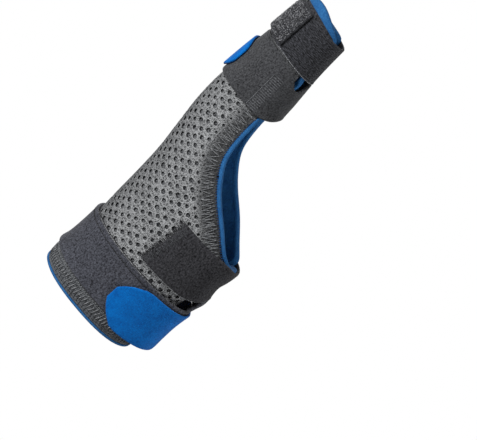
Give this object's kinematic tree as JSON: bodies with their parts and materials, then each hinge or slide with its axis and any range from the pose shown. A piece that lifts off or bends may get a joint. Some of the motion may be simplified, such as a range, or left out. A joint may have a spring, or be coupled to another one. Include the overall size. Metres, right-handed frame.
{
  "type": "thumb spica splint",
  "caption": "Soft wrist and thumb brace of perforated spacer knit, with a hand opening, hook-and-loop straps at wrist, hand and thumb, and blue pull tabs.",
  "frame": {"origin": "middle of the wrist, on the forearm's axis under the middle of the wrist strap", "axes": "+X along the forearm towards the fingers, +Y to the palm, +Z to the thumb side"},
  "size_m": [0.1894, 0.0578, 0.0868],
  "materials": {
    "spacer_knit": "open-hole warp-knitted polyester spacer mesh, matt grey, with a darker sewn border",
    "blue_lining": "brushed blue polyamide knit, matt",
    "loop_cloth": "charcoal brushed loop cloth, matt with a faint nap",
    "woven_tape": "dark grey woven elastic tape, matt",
    "rough_loop": "charcoal coarse loop pile, matt",
    "blue_tab": "blue felted hook-and-loop tab, matt"
  },
  "bodies": {
    "root": {"shell": "spacer_knit", "lining": "blue_lining", "wrist_strap": "loop_cloth", "wrist_tab": "blue_tab", "hand_strap": "loop_cloth", "strap_yoke": "loop_cloth", "thumb_wrap": "loop_cloth", "thumb_tab": "blue_tab", "thumb_strap": "woven_tape", "thumb_strap_end": "rough_loop"}
  },
  "joints": []
}
